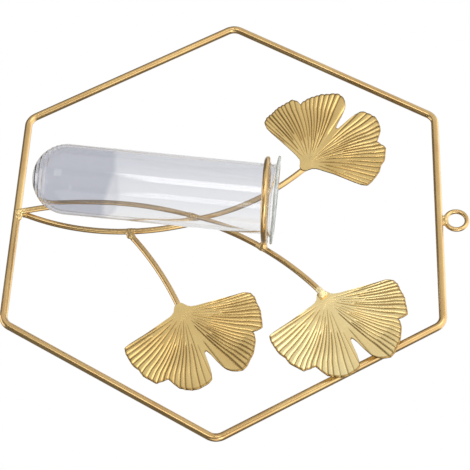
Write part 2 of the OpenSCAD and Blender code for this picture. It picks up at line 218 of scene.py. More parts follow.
def bowed(foot, tip, bow, side, y, count=150):
    """Points of the drawing along a bowed wire at depth y."""
    centre, r = arc(foot, tip, bow, side)
    a, b = arc_angle(centre, foot), arc_angle(centre, tip)
    if side < 0 and a < 0:
        a += math.tau
    angles = ends_spaced(a, b, count, r)
    return [(centre[0] + r * math.cos(v), y, centre[1] + r * math.sin(v)) for v in angles]


# Node material helpers
def node(tree, kind, inputs=None, **settings):
    n = tree.nodes.new(kind)
    for key, value in settings.items():
        setattr(n, key, value)
    for key, value in (inputs or {}).items():
        if isinstance(value, bpy.types.NodeSocket):
            tree.links.new(value, n.inputs[key])
        else:
            n.inputs[key].default_value = value
    return n


def math_node(tree, operation, a, b=0.0, clamp=False):
    return node(tree, "ShaderNodeMath", {0: a, 1: b}, operation=operation, use_clamp=clamp).outputs[0]


def ramp(tree, fac, stops):
    n = node(tree, "ShaderNodeValToRGB", {0: fac})
    while len(n.color_ramp.elements) > 1:
        n.color_ramp.elements.remove(n.color_ramp.elements[-1])
    n.color_ramp.elements[0].position = stops[0][0]
    n.color_ramp.elements[0].color = (*stops[0][1], 1)
    for place, colour in stops[1:]:
        n.color_ramp.elements.new(place).color = (*colour, 1)
    return n.outputs["Color"]


def attribute(tree, name):
    return node(tree, "ShaderNodeAttribute", attribute_name=name).outputs["Fac"]


def noise(tree, place, scale, detail, roughness=0.5):
    return node(tree, "ShaderNodeTexNoise", {"Vector": place, "Scale": scale, "Detail": detail,
                                             "Roughness": roughness}).outputs["Fac"]


def map_range(tree, value, start, stop, low, high, curve="LINEAR"):
    """low up to start, high from stop on, and a straight or SMOOTHSTEP rise between them."""
    inputs = {"Value": value, "From Min": start, "From Max": stop, "To Min": low, "To Max": high}
    return node(tree, "ShaderNodeMapRange", inputs, interpolation_type=curve).outputs[0]


def mixed(tree, share, first, second):
    """The first colour at share 0 and the second at 1, each a socket or three numbers."""
    first, second = (c if isinstance(c, bpy.types.NodeSocket) else (*c, 1) for c in (first, second))
    return node(tree, "ShaderNodeMix", {0: share, 6: first, 7: second}, data_type="RGBA").outputs[2]


def bump(tree, height, strength, distance, below=None):
    inputs = {"Height": height, "Strength": strength, "Distance": distance}
    if below is not None:
        inputs["Normal"] = below
    return node(tree, "ShaderNodeBump", inputs).outputs[0]


def srgb(*levels):
    """A colour of 0 to 255 levels as linear numbers."""
    shares = [level / 255 for level in levels]
    return tuple(c / 12.92 if c <= 0.04045 else ((c + 0.055) / 1.055) ** 2.4 for c in shares)


def new_material(name):
    m = bpy.data.materials.new(name)
    m.use_nodes = True
    return m, m.node_tree, m.node_tree.nodes["Principled BSDF"]


MATERIALS = {}


def material(name):
    if name not in MATERIALS:
        MATERIALS[name] = gold(name, **GOLDS[name]) if name in GOLDS else GLASSES[name](name)
    return MATERIALS[name]


# Gold finish: the scales of its grain, its clouds of colour and its orange peel, per metre
STREAKS_ROUND = 3.2
STREAKS_ALONG = 55.0
GRAIN_SCALE = 300.0
GRAIN_NOISE = 3.0
CLOUD_SCALE = 38.0
PEEL_SCALE = 400.0
# How much of the colour follows the clouds, and the levels at which it is all deep or all pale
CLOUD_SHARE = 0.85
DEEP_AT, PALE_AT = 0.36, 0.62
# How high up a rib, from 0 to 1, the painted shade of the groove ends
GROOVE_SHADE_ENDS = (0.15, 0.75)
# How far the grain makes the finish smoother or rougher, and the strength and height of each relief
ROUGHNESS_SPREAD = (-0.03, 0.05)
PEEL_RELIEF, GRAIN_RELIEF = (0.07, 0.0002), (0.05, 0.0001)
COAT_ROUGHNESS = 0.16
COAT_IOR = 1.7


def gold(name, pale, deep, groove, roughness, metal, coat, streaks):
    """Satin gold paint: its colour wanders between two golds, with fine streaks and a faint orange peel.

    A groove colour, where it is given, is painted shade at the feet of the ribs, and a brown is painted shade
    along the edge of the sheet.
    """
    m, t, shader = new_material(name)
    place = node(t, "ShaderNodeTexCoord").outputs["Object"]
    if streaks:
        turn = math_node(t, "MULTIPLY", attribute(t, "turn"), math.tau)
        grain_at = node(t, "ShaderNodeCombineXYZ", {
            0: math_node(t, "MULTIPLY", math_node(t, "COSINE", turn), STREAKS_ROUND),
            1: math_node(t, "MULTIPLY", math_node(t, "SINE", turn), STREAKS_ROUND),
            2: math_node(t, "MULTIPLY", attribute(t, "along"), STREAKS_ALONG),
        }).outputs[0]
    else:
        grain_at = node(t, "ShaderNodeVectorMath", {0: place, 1: (GRAIN_SCALE,) * 3},
                        operation="MULTIPLY").outputs[0]
    grain = noise(t, grain_at, GRAIN_NOISE, 4.0, 0.6)
    cloud = noise(t, place, CLOUD_SCALE, 3.0, 0.55)
    level = math_node(t, "ADD", math_node(t, "MULTIPLY", cloud, CLOUD_SHARE),
                      math_node(t, "MULTIPLY", grain, 1 - CLOUD_SHARE))
    colour = ramp(t, level, [(DEEP_AT, deep), (PALE_AT, pale)])
    # Painted shade: the groove colour in the grooves between the ribs, and a brown along the sheet's edge
    if groove:
        clear = map_range(t, attribute(t, "crest"), *GROOVE_SHADE_ENDS, 0.0, 1.0, "SMOOTHSTEP")
        colour = mixed(t, clear, groove, colour)
        colour = mixed(t, attribute(t, "rim"), colour, RIM_PAINTED_SHADE)
    t.links.new(colour, shader.inputs["Base Color"])
    shader.inputs["Metallic"].default_value = metal
    shader.inputs["Coat Weight"].default_value = coat
    shader.inputs["Coat Roughness"].default_value = COAT_ROUGHNESS
    shader.inputs["Coat IOR"].default_value = COAT_IOR
    rough = map_range(t, grain, 0.3, 0.7, *(roughness + change for change in ROUGHNESS_SPREAD))
    t.links.new(rough, shader.inputs["Roughness"])
    peel = bump(t, noise(t, place, PEEL_SCALE, 3.0, 0.55), *PEEL_RELIEF)
    t.links.new(bump(t, grain, *GRAIN_RELIEF, peel), shader.inputs["Normal"])
    return m


# Glass: lengths are shares of the tube's length, from its foot, and places across it are shares from its left
GLASS_IOR = 1.47
# Where the painted grey of the foot ends, and how much lower it ends towards the tube's sides; the grey
# stands for a dark reflection in the glass
PAINTED_GREY_ENDS = (0.335, 0.355)
GREY_BULGE, GREY_MIDDLE = 0.26, 0.4
# Where the body's glass has a little painted grey, standing for a dark reflection, and where it is clear,
# from left to right
BODY_AT, CLEAR_AT = 0.42, 0.7
# The fine rings at the foot, their number in the tube's length, and where they fade out
FOOT_RINGS = 60
RINGS_FADE = (0.05, 0.13)
RINGS_RELIEF, RIPPLE_RELIEF = (0.3, 0.0002), (0.06, 0.0004)
RIPPLE_SCALE = 55.0
LIP_TRANSMISSION = 0.35
LIP_ROUGHNESS = 0.12
LIP_CLOUD_SCALE = 160.0
LIP_RELIEF = (0.3, 0.0004)


def glass(name):
    """Clear blown glass: painted grey for a dark reflection in its lower third and on the left of its body,
    rings at its round foot, and shallow ripples.
    """
    m, t, shader = new_material(name)
    shader.inputs["Transmission Weight"].default_value = 1.0
    shader.inputs["IOR"].default_value = GLASS_IOR
    shader.inputs["Roughness"].default_value = 0.0
    along, across = attribute(t, "along"), attribute(t, "across")
    off = math_node(t, "SUBTRACT", across, GREY_MIDDLE)
    bulge = math_node(t, "MULTIPLY", math_node(t, "MULTIPLY", off, off), GREY_BULGE)
    # Painted reflection: grey over the foot, and a fainter grey on the left of the body that clears towards
    # the right
    at_body = map_range(t, math_node(t, "ADD", along, bulge), *PAINTED_GREY_ENDS, 0.0, 1.0)
    body = ramp(t, across, [(BODY_AT, GLASS_BODY_PAINTED_GREY), (CLEAR_AT, GLASS_CLEAR)])
    t.links.new(mixed(t, at_body, GLASS_FOOT_PAINTED_GREY, body), shader.inputs["Base Color"])
    at_foot = map_range(t, along, *RINGS_FADE, 1.0, 0.0)
    rings = math_node(t, "SINE", math_node(t, "MULTIPLY", along, FOOT_RINGS * math.tau))
    rings = math_node(t, "MULTIPLY", math_node(t, "MULTIPLY", rings, at_foot), 0.5)
    ripple = noise(t, node(t, "ShaderNodeTexCoord").outputs["Object"], RIPPLE_SCALE, 1.0)
    relief = bump(t, ripple, *RIPPLE_RELIEF, bump(t, rings, *RINGS_RELIEF))
    t.links.new(relief, shader.inputs["Normal"])
    return m


def glass_lip(name):
    """The lip's rim, softened in the flame: the same glass, cloudier and greener as it is seen edge on."""
    m, t, shader = new_material(name)
    shader.inputs["Transmission Weight"].default_value = LIP_TRANSMISSION
    shader.inputs["IOR"].default_value = GLASS_IOR
    shader.inputs["Roughness"].default_value = LIP_ROUGHNESS
    cloud = noise(t, node(t, "ShaderNodeTexCoord").outputs["Object"], LIP_CLOUD_SCALE, 2.0)
    t.links.new(ramp(t, cloud, [(0.35, GLASS_LIP), (0.65, GLASS_LIP_PALE)]), shader.inputs["Base Color"])
    t.links.new(bump(t, cloud, *LIP_RELIEF), shader.inputs["Normal"])
    return m


# The glass's greys below are painted, and stand for a dark reflection in it
GLASS_FOOT_PAINTED_GREY = srgb(222, 223, 229)
GLASS_BODY_PAINTED_GREY = srgb(236, 237, 241)
GLASS_CLEAR = srgb(255, 255, 255)
GLASS_LIP = srgb(196, 206, 200)
GLASS_LIP_PALE = srgb(236, 240, 238)
# Painted shade along the leaf's edge
RIM_PAINTED_SHADE = srgb(166, 136, 84)
# A paler, brighter gold is painted light: the upper right leaf and the leaves' weld beads take it, to look
# more strongly lit
PAINTED_LIGHT_PALE, PAINTED_LIGHT_DEEP = srgb(248, 230, 174), srgb(240, 216, 156)
GOLDS = {
    "gold_wire": dict(pale=srgb(216, 181, 114), deep=srgb(198, 158, 92), groove=None,
                      roughness=0.22, metal=1.0, coat=1.0, streaks=True),
    # Each groove colour is painted shade in the leaves' grooves
    "gold_leaf": dict(pale=srgb(232, 205, 142), deep=srgb(216, 186, 122), groove=srgb(180, 147, 90),
                      roughness=0.24, metal=1.0, coat=0.0, streaks=False),
    # A lit copy of the leaf gold: painted light
    "gold_leaf_bright": dict(pale=PAINTED_LIGHT_PALE, deep=PAINTED_LIGHT_DEEP, groove=srgb(190, 162, 104),
                             roughness=0.24, metal=1.0, coat=0.0, streaks=False),
    "gold_weld": dict(pale=srgb(226, 194, 128), deep=srgb(204, 168, 102), groove=None,
                      roughness=0.26, metal=0.8, coat=0.8, streaks=False),
    # A lit copy of the weld gold: painted highlight
    "gold_weld_pale": dict(pale=PAINTED_LIGHT_PALE, deep=PAINTED_LIGHT_DEEP, groove=None,
                           roughness=0.3, metal=0.35, coat=0.8, streaks=False),
}
GLASSES = {"glass": glass, "glass_lip": glass_lip}

# The wires
corner_centre = SIDE - CORNER_R / math.cos(math.radians(30))
CORNER_STEPS = 13
STRAIGHT_STEPS = 26


def corner_point(corner, v):
    """A point of one of the hexagon's bends, v degrees from the bend's middle."""
    mid = math.radians(60 * corner)
    a = mid + math.radians(v)
    return np.array([corner_centre * math.cos(mid) + CORNER_R * math.cos(a), 0,
                     corner_centre * math.sin(mid) + CORNER_R * math.sin(a)])


def hexagon_path():
    """Six bends and six straights, walked once round."""
    path = []
    for corner in range(6):
        path += [corner_point(corner, v) for v in np.linspace(-30, 30, CORNER_STEPS)]
        last, first = path[-1], corner_point(corner + 1, -30)
        path += [last + (first - last) * share for share in np.linspace(0, 1, STRAIGHT_STEPS)[1:-1]]
    return path


def circle_angles(count):
    return np.linspace(0, math.tau, count + 1)[:-1]


wire("frame_rod", "hexagon_frame", many(hexagon_path(), False), ROD_R, closed=True)

loop_line = many([(LOOP_SHIFT + LOOP_R * math.cos(a), 0, LOOP_Z + LOOP_R * math.sin(a))
                  for a in circle_angles(96)], False)
wire("loop_wire", "hanging_loop", loop_line, LOOP_WIRE_R, closed=True)

left_wire = many(bowed(LEFT_FOOT, LEFT_TIP, LEFT_BOW, 1, BACK_Y))
right_wire = many(bowed(RIGHT_FOOT, RIGHT_TIP, RIGHT_BOW, -1, FRONT_Y))
# The branch stands on the left stem
(left_x, left_z), left_r = arc(LEFT_FOOT, LEFT_TIP, LEFT_BOW, 1)
branch_root = (left_x + math.sqrt(left_r ** 2 - (BRANCH_ROOT_Z - left_z) ** 2), BRANCH_ROOT_Z)
branch_line = many(bowed(branch_root, BRANCH_TIP, BRANCH_BOW, -1, BACK_Y, 80))
wire("left_stem_wire", "left_stem", left_wire, STEM_R)
wire("right_stem_wire", "right_stem", right_wire, STEM_R)
wire("branch_wire", "branch_stem", branch_line, STEM_R)


def middle_of(nodename):
    low, high = (np.array(c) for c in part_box(nodename))
    return (low + high) / 2


# The holder ring leans with the stems, and dips a little to the right and to the back
ring_mid = middle_of("holder_ring")
ring_turn = (Matrix.Rotation(LEAN, 3, "X") @ Matrix.Rotation(RING_SIDE, 3, "Y")
             @ Matrix.Rotation(-RING_BACK, 3, "X"))
ring_line = np.array([ring_mid + np.array(ring_turn @ Vector((math.cos(a), math.sin(a), 0))) * RING_R * MM
                      for a in circle_angles(192)])
wire("ring_wire", "holder_ring", ring_line, STEM_R, closed=True)


# The glass tube
ROUND_STEPS = 40
BEND_STEPS = 14
RIM_STEPS = 16
TUBE_SIDES = 144
# How far the blown lip droops and pulls in at most: it isn't quite round or flat
LIP_WAVE = 0.45


def tube_profile():
    """Radius and height above the foot, from there up the outside, over the lip and down the bore."""
    quarter = math.pi / 2
    bend_z = TUBE_L - TUBE_WALL - LIP_BEND
    bend_r = TUBE_R + LIP_BEND
    half_wall = TUBE_WALL / 2
    lip_mid = LIP_R - half_wall
    inside_bend = LIP_BEND + TUBE_WALL
    bore = TUBE_R - TUBE_WALL
    outer = [(TUBE_R * math.cos(a), TUBE_R + TUBE_R * math.sin(a))
             for a in np.linspace(-quarter, 0, ROUND_STEPS)]
    outer += [(TUBE_R, z) for z in np.linspace(TUBE_R, bend_z, ROUND_STEPS)[1:-1]]
    outer += [(bend_r + LIP_BEND * math.cos(a), bend_z + LIP_BEND * math.sin(a))
              for a in np.linspace(math.pi, quarter, BEND_STEPS)]
    rim = [(lip_mid + half_wall * math.cos(a), TUBE_L - half_wall + half_wall * math.sin(a))
           for a in np.linspace(-quarter, quarter, RIM_STEPS)]
    inner = [(bend_r + inside_bend * math.cos(a), bend_z + inside_bend * math.sin(a))
             for a in np.linspace(quarter, math.pi, BEND_STEPS)]
    inner += [(bore, z) for z in np.linspace(bend_z, TUBE_R, ROUND_STEPS)[1:-1]]
    inner += [(bore * math.cos(a), TUBE_R + bore * math.sin(a))
              for a in np.linspace(0, -quarter, ROUND_STEPS)]
    return outer + rim + inner


def revolve(profile, sides):
    """Verts and faces of a closed form turned round Z, whose profile starts and ends on the axis."""
    body = profile[1:-1]
    verts = [(r * math.cos(a), r * math.sin(a), z) for r, z in body for a in circle_angles(sides)]
    faces = []
    for i in range(len(body) - 1):
        for k in range(sides):
            m = (k + 1) % sides
            faces.append((i * sides + k, i * sides + m, (i + 1) * sides + m, (i + 1) * sides + k))
    first, last = len(verts), len(verts) + 1
    verts += [(0, 0, profile[0][1]), (0, 0, profile[-1][1])]
    end = (len(body) - 1) * sides
    for k in range(sides):
        m = (k + 1) % sides
        faces.append((first, m, k))
        faces.append((last, end + k, end + m))
    return np.array(verts, float), faces


tube_axis = Vector(frame["joints"][0]["axis"]).normalized()
tube_bore = next(mount for mount in frame["record"]["mounts"] if mount["name"] == "tube_bore")
bore_mid = (TUBE_R + TUBE_L - LIP_BEND - TUBE_WALL) / 2
tube_bottom = Vector(tube_bore["pos_m"]) - tube_axis * bore_mid * MM
verts, faces = revolve(tube_profile(), TUBE_SIDES)
reach = np.hypot(verts[:, 0], verts[:, 1])
around = np.arctan2(verts[:, 1], verts[:, 0])
flare = np.clip((reach - TUBE_R) / (LIP_R - TUBE_R), 0, 1) ** 2 * (verts[:, 2] > TUBE_L / 2)
verts[:, 2] -= LIP_WAVE * flare * (0.5 + 0.3 * np.sin(3 * around + 1) + 0.2 * np.sin(7 * around))
verts[:, :2] *= (1 - 0.6 * LIP_WAVE / LIP_R * flare * (0.5 + 0.5 * np.sin(5 * around + 2)))[:, None]
upright = np.array(tube_axis.to_track_quat("Z", "Y").to_matrix())
placed = verts * MM @ upright.T + np.array(tube_bottom)
# across also places the painted grey of the glass, from the tube's left
across = (placed[:, 0] - placed[:, 0].min()) / np.ptp(placed[:, 0])
tube = mesh_object("test_tube", placed, faces, {"along": verts[:, 2] / TUBE_L, "across": across})
stand_for(tube, "glass_tube", "glass", "tube")
tube.data.materials.append(material("glass_lip"))
for face in tube.data.polygons:
    if min(reach[i] for i in face.vertices) > LIP_R - TUBE_WALL / 2 - LIP_WAVE:
        face.material_index = 1

# The leaves
# The stamping's outline: degrees from its middle line, and distance from its root as a share of LEAF_R
LEAF_EDGE = np.array([
    (-180, 0.125), (-160, 0.12), (-140, 0.1), (-118, 0.095), (-100, 0.118), (-92, 0.16), (-86, 0.255),
    (-83, 0.38), (-82.3, 0.53), (-82, 0.67), (-80.5, 0.745), (-76, 0.772), (-71, 0.79), (-64, 0.82),
    (-58, 0.826), (-53, 0.865), (-47, 0.878), (-42, 0.897), (-38, 0.856), (-34.5, 0.822), (-31, 0.862),
    (-26, 0.925), (-22, 0.948), (-18, 0.965), (-14.5, 0.97), (-10.5, 0.953), (-6, 0.93), (-3.5, 0.9),
    (-1.5, 0.8), (-0.5, 0.667), (0.8, 0.565), (3.2, 0.56), (5, 0.61), (6.3, 0.733), (8, 0.862),
    (10, 0.922), (13, 0.97), (16.5, 1), (20, 0.993), (24, 0.968), (29, 0.95), (33, 0.92), (38, 0.889),
    (42, 0.85), (44.3, 0.817), (46, 0.858), (49.5, 0.9), (54, 0.88), (58, 0.862), (63, 0.849),
    (69, 0.813), (75, 0.8), (80, 0.762), (82.5, 0.69), (83.5, 0.53), (84.5, 0.38), (87, 0.255),
    (92, 0.17), (102, 0.116), (120, 0.096), (142, 0.102), (160, 0.12), (180, 0.125)])
# Where the grooves between the ribs reach that outline, in degrees, on either side of the cleft
LEFT_GROOVES = [-82.6, -79, -74.3, -69.7, -65, -60, -55, -49.7, -45.4, -41.7, -38, -34, -29.7, -25.7, -22,
                -17.7, -12.6, -8.3, -3.2]
RIGHT_GROOVES = [7.4, 15.7, 19.4, 23, 26.5, 30.2, 33.7, 37, 40.4, 44.2, 48.8, 53, 57, 60.3, 63.7, 67, 70.3,
                 73.7, 77, 80.3, 83]
CLEFT_ANGLES = [-2.2, -1.2, -0.3, 0.8, 2.0, 3.2, 4.2, 5.2, 6.3]
BACK_ANGLES = np.linspace(84, 276, 45)
# Places of the columns of points across a rib, and of the rows from the root out to the edge
RIB_PLACES = [0, 0.05, 0.12, 0.22, 0.36, 0.5, 0.64, 0.78, 0.88, 0.95]
ROWS = np.concatenate([np.linspace(0.02, 0.2, 12), np.linspace(0.22, 0.97, 50), [0.985, 1]])
EDGE_ROWS = 0.98
# The ribs' height, reached over RIB_RISE from RIB_START, and the fall of the grooves between them
RIB_H = 0.33
RIB_START, RIB_RISE = 4, 10
RIB_STEP = math.radians(4)
GROOVE_SHARE = 0.2
GROOVE_HALF = 0.38
GROOVE_WIDEST = 0.42
GROOVE_RISE = 3
# Where grooves begin, from the root: every fourth one, the one halfway between two of those, and the rest
FIRST_BEGIN, HALFWAY_BEGIN, OTHER_BEGIN = (2.4, 4.0), (5, 8), (11, 19)
# How much later they begin in the middle, over so many ribs on either side
MIDDLE_EXTRA, MIDDLE_RIBS = (0, 2), 6
# How deep each groove is as a share, and how far each rib's top rises at the edge
GROOVE_DEPTHS, RIB_TOPS = (0.75, 1.15), (0.04, 0.24)
# The fan's ribs start from a point past the root
FAN_LEAN = math.radians(9)
FAN_FADE = 34.0
FAN_SIDE = math.radians(84)
FAN_STEPS = 1441
# How far the edge scallops in at a groove and out at a rib, and how far it is turned down
SCALLOP = 0.05
EDGE_DROP = 0.12
# The stamped dome over the root
ROOT_DOME_H = 0.4
ROOT_DOME_R = 3.4


def leaf_columns():
    """Angle at the edge in degrees, place across a rib from 0 to 1 or None, rib number and width."""
    columns = []
    number = 0
    for grooves in (LEFT_GROOVES, RIGHT_GROOVES):
        for start, stop in zip(grooves[:-1], grooves[1:]):
            columns += [(start + (stop - start) * place, place, number, stop - start) for place in RIB_PLACES]
            number += 1
        columns.append((grooves[-1], 1, number - 1, grooves[-1] - grooves[-2]))
        if grooves is LEFT_GROOVES:
            columns += [(angle, None, 0, 0) for angle in CLEFT_ANGLES]
    columns += [(angle, None, 0, 0) for angle in BACK_ANGLES]
    return columns, number


def fan_angle(fan, r):
    """The ribs fan out from a point past the root: a rib's angle round the root, at r mm from it."""
    if abs(fan) >= FAN_SIDE:
        return fan
    fade = max(0.0, 1 - r / FAN_FADE)
    return fan - FAN_LEAN * fade * math.sin(math.pi * fan / FAN_SIDE)


def eased(share):
    share = min(max(share, 0.0), 1.0)
    return share * share * (3 - 2 * share)


def edge_at(angle):
    """Distance of the leaf's edge from its root, at an angle in degrees."""
    wrapped = angle - 360 if angle > 180 else angle
    return np.interp(wrapped, LEAF_EDGE[:, 0], LEAF_EDGE[:, 1]) * LEAF_R


def groove_plan(rng, ribs):
    """Where each groove begins and how deep it is, and how far each rib's top rises."""
    begins = rng.uniform(*FIRST_BEGIN, ribs + 2)
    begins[::2] = rng.uniform(*OTHER_BEGIN, len(begins[::2]))
    begins[3::4] = rng.uniform(*HALFWAY_BEGIN, len(begins[3::4]))
    middle = [i for i in range(ribs) if abs(i - len(LEFT_GROOVES)) < MIDDLE_RIBS]
    begins[middle] += rng.uniform(*MIDDLE_EXTRA, len(middle))
    return begins, rng.uniform(*GROOVE_DEPTHS, ribs + 2), rng.uniform(*RIB_TOPS, ribs)


def groove_cut(place, rib, width, r, begins, depths):
    """How far into a groove a place across a rib is, from 0 on the rib, r mm from the root."""
    half = min(GROOVE_HALF / max(r * math.radians(width), 0.1), GROOVE_WIDEST)
    power = math.log(0.5) / math.log(1 - half)
    low = (1 - place) ** power * depths[rib] * eased((r - begins[rib]) / GROOVE_RISE)
    high = place ** power * depths[rib + 1] * eased((r - begins[rib + 1]) / GROOVE_RISE)
    return max(low, high)


def leaf_height(r, a, cut):
    """Height of the leaf's front at r mm and angle a from its root, apart from the tops of the ribs."""
    share = r / LEAF_R
    deep = min(RIB_H, GROOVE_SHARE * r * RIB_STEP)
    z = LEAF_CURL * share ** 2 + RIB_H * eased((r - RIB_START) / RIB_RISE) - deep * cut
    z += 0.25 * math.sin(a * 2.3 + 0.7) * share ** 2 + 0.18 * math.sin(r * 0.31 + a * 3) * share
    return z + ROOT_DOME_H * math.exp(-(r / ROOT_DOME_R) ** 2)


def leaf_faces(n, rings):
    """Faces of the front, the back and the edge, for rings of n points, and of the fans at the root."""
    total = n * rings
    edge = total - n
    faces = []
    for j in range(rings - 1):
        for i in range(n):
            k = (i + 1) % n
            a, b, c, d = j * n + i, j * n + k, (j + 1) * n + k, (j + 1) * n + i
            faces.append((a, d, c, b))
            faces.append((total + a, total + b, total + c, total + d))
    for i in range(n):
        k = (i + 1) % n
        faces.append((edge + i, total + edge + i, total + edge + k, edge + k))
    for i in range(n):
        k = (i + 1) % n
        faces.append((2 * total, i, k))
        faces.append((2 * total + 1, total + k, total + i))
    return faces


def leaf_mesh():
    """One leaf round its root at the origin, in mm: verts, faces and attributes, front towards +Z."""
    columns, ribs = leaf_columns()
    begins, depths, tops = groove_plan(np.random.default_rng(7), ribs)
    fans = np.radians(np.linspace(-180, 180, FAN_STEPS))
    fan_at = []
    for angle, *_ in columns:
        wrapped = math.radians(angle - 360 if angle > 180 else angle)
        edge = edge_at(angle)
        fan_at.append(np.interp(wrapped, [fan_angle(fan, edge) for fan in fans], fans))
    front, crests, rims = [], [], []
    for row in ROWS:
        for (angle, place, rib, width), fan in zip(columns, fan_at):
            r = edge_at(angle) * row
            cut = top = 0.0
            if place is not None:
                cut = groove_cut(place, rib, width, r, begins, depths)
                r += row * SCALLOP * (1 - 2 * cut)
                top = tops[rib] * r / LEAF_R * math.sin(math.pi * place)
            a = fan_angle(fan, r)
            drop = EDGE_DROP if row == ROWS[-1] else 0
            front.append((r * math.cos(a), r * math.sin(a), leaf_height(r, a, cut) + top - drop))
            # crest and rim mark where the gold takes its painted shade: the grooves and the edge
            crests.append(1 - min(cut, 1))
            rims.append(1.0 if row > EDGE_ROWS else 0.0)
    verts = front + [(x, y, z - LEAF_SHEET) for x, y, z in front]
    verts += [(0, 0, ROOT_DOME_H), (0, 0, ROOT_DOME_H - LEAF_SHEET)]
    marks = {"crest": crests * 2 + [1, 1], "rim": rims * 2 + [0, 0]}
    return np.array(verts), leaf_faces(len(columns), len(ROWS)), marks


LEAF_VERTS, LEAF_FACES, LEAF_MARKS = leaf_mesh()


def leaf(name, nodename, tip, turn, lap, y, look="gold_leaf"):
    """Its front lies at depth y, its middle points turn degrees from +X, and its root is lap past the tip."""
    a = math.radians(turn)
    c, s = math.cos(a), math.sin(a)
    root = (tip[0] + lap * c, tip[1] + lap * s)
    points = [(root[0] + px * c - py * s, y - pz, root[1] + px * s + py * c) for px, py, pz in LEAF_VERTS]
    return stand_for(mesh_object(name, many(points), LEAF_FACES, LEAF_MARKS), nodename, look)


LEAF_FRONT_Y = BACK_Y - STEM_R - TOUCH_GAP - LEAF_SHEET
LEAF_BEHIND_Y = FRONT_Y + STEM_R + TOUCH_GAP
leaf("leaf_upper_left", "upper_left_leaf", LEFT_TIP, 142.8, 1.305, LEAF_FRONT_Y)
# This leaf takes the paler lit copy of the gold: painted light
leaf("leaf_upper_right", "upper_right_leaf", RIGHT_TIP, 27.5, 3.195, LEAF_BEHIND_Y, "gold_leaf_bright")
leaf("leaf_lower_right", "lower_right_leaf", BRANCH_TIP, 27.2, 2.61, LEAF_FRONT_Y)


# The weld beads
BALL_TURNS, BALL_RISES = 20, 12
MELT_VOXEL = 0.2
MELT_STEPS = 8
# How far a stub's ends are sunk into its wire, and how much fatter it is at the weld
STUB_SUNK, STUB_SWELL = 0.35, 0.6
STUB_SIDES = 20


def stub(path, radius, middle, reach):
    """Verts and faces of a wire near a weld, fatter than the wire at the weld and thinner at its ends."""
    far = np.linalg.norm(path - np.array(middle), axis=1) / MM
    near = far < reach
    swell = 1 - (far[near] / reach) ** 2
    return sweep(path[near], (radius - STUB_SUNK + STUB_SWELL * swell) * MM, False, STUB_SIDES)[:2]


def loop_stub(path, radius, middle, reach):
    """A stub of a closed path, round the place nearest to middle."""
    nearest = int(np.argmin(np.linalg.norm(path - middle, axis=1)))
    return stub(np.roll(path, len(path) // 2 - nearest, 0), radius, middle, reach)


def ball(centre, r):
    verts, faces = [], []
    for j in range(BALL_RISES + 1):
        b = math.pi * j / BALL_RISES
        for i in range(BALL_TURNS):
            a = math.tau * i / BALL_TURNS
            out = np.array([math.sin(b) * math.cos(a), math.sin(b) * math.sin(a), math.cos(b)])
            verts.append(np.array(centre) + out * r * MM)
    for j in range(BALL_RISES):
        low, high = j * BALL_TURNS, (j + 1) * BALL_TURNS
        for i in range(BALL_TURNS):
            k = (i + 1) % BALL_TURNS
            faces.append((low + i, high + i, high + k, low + k))
    return verts, faces


def melted(name, verts, faces):
    """One smooth skin round overlapping forms, as a mesh."""
    obj = mesh_object(name + "_raw", verts, faces)
    remesh = obj.modifiers.new("melt", "REMESH")
    remesh.mode = "VOXEL"
    remesh.voxel_size = MELT_VOXEL * MM
    soften = obj.modifiers.new("soften", "SMOOTH")
    soften.factor = 0.5
    soften.iterations = MELT_STEPS
    bpy.context.view_layer.update()
    mesh = bpy.data.meshes.new_from_object(obj.evaluated_get(bpy.context.evaluated_depsgraph_get()))
    bpy.data.objects.remove(obj)
    mesh.name = name
    return mesh


def roughened(mesh, seed, amount):
    """Moves the skin in and out by about amount mm, in soft waves, and keeps it inside the object's box."""
    size = len(mesh.vertices) * 3
    co, no = np.zeros(size, np.float32), np.zeros(size, np.float32)
    mesh.vertices.foreach_get("co", co)
    mesh.vertices.foreach_get("normal", no)
    co, no = co.reshape(-1, 3), no.reshape(-1, 3)
    x, y, z = (co / MM).T
    wave = np.sin(x * 2.1 + seed) * np.sin(y * 2.6 + 2 * seed) + 0.5 * np.sin(z * 3.7 + 3 * seed)
    co = np.clip(co + no * (wave * amount * MM)[:, None], *np.array(cad_box))
    mesh.vertices.foreach_set("co", co.astype(np.float32).ravel())


def bead(name, nodename, balls, stubs, seed, roughen=0.12, look="gold_weld"):
    """Balls of weld metal and stubs of wire, melted into one lump."""
    verts, faces = [], []
    for part_verts, part_faces in [*stubs, *(ball(*each) for each in balls)]:
        base = len(verts)
        verts += list(part_verts)
        faces += [tuple(base + i for i in face) for face in part_faces]
    mesh = melted(name, verts, faces)
    roughened(mesh, seed, roughen)
    mesh.polygons.foreach_set("use_smooth", [True] * len(mesh.polygons))
    mesh.materials.clear()
    done = bpy.data.objects.new(name, mesh)
    bpy.context.scene.collection.objects.link(done)
    return stand_for(done, nodename, look)


# The foot's and the loop's beads stand on stretches of the frame's bottom and top sides
bottom_line = many([(x, 0, FOOT_Z) for x in np.linspace(-14, 12, 60)], False)
top_line = many([(x, 0, HALF) for x in np.linspace(-8, 13, 60)], False)
SIDE_STUB_R = ROD_R - STUB_SUNK

foot_mid = at((-1.5, -0.6, FOOT_Z + 1.6))
foot_balls = [((-3.4, 0.3, FOOT_Z + 2.4), 1.9), ((-0.9, -1.9, FOOT_Z + 2.2), 2.0),
              ((1.2, -1.2, FOOT_Z + 1.6), 1.5)]
bead("weld_foot", "foot_weld", [(at(p), r) for p, r in foot_balls],
     [stub(left_wire, STEM_R, foot_mid, 6.5), stub(right_wire, STEM_R, foot_mid, 6.5),
      stub(bottom_line, SIDE_STUB_R, foot_mid, 7.5)], 2)

